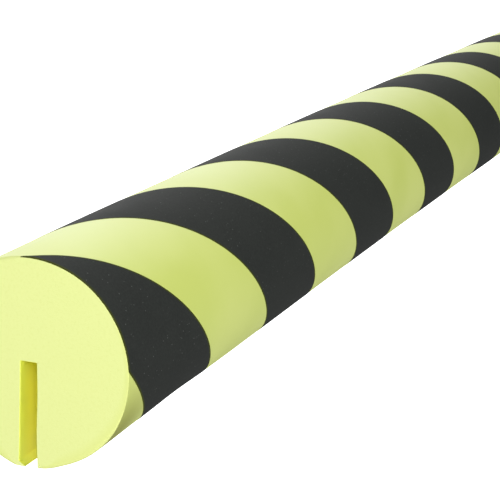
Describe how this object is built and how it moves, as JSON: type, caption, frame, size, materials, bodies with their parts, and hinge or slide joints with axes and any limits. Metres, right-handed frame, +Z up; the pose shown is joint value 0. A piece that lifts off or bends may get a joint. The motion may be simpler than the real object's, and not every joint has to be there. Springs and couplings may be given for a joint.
{
  "type": "round foam edge guard",
  "caption": "Round foam guard with a lengthwise slot, pushed over the edge of a panel or shelf; black warning bands wind round pale yellow-green foam.",
  "frame": {"origin": "on the axis of the round section, half way along the guard, at the middle of the seat where the panel's edge stops", "axes": "+Y along the guard, away from the end that the picture shows; +Z up, away from the slot's mouth; +X to the right when that end is looked at"},
  "size_m": [0.0606, 1, 0.0603],
  "materials": {
    "foam": "matte",
    "black_print": "satin"
  },
  "bodies": {
    "root": {"foam_profile": "foam", "black_bands": "black_print"}
  },
  "joints": []
}
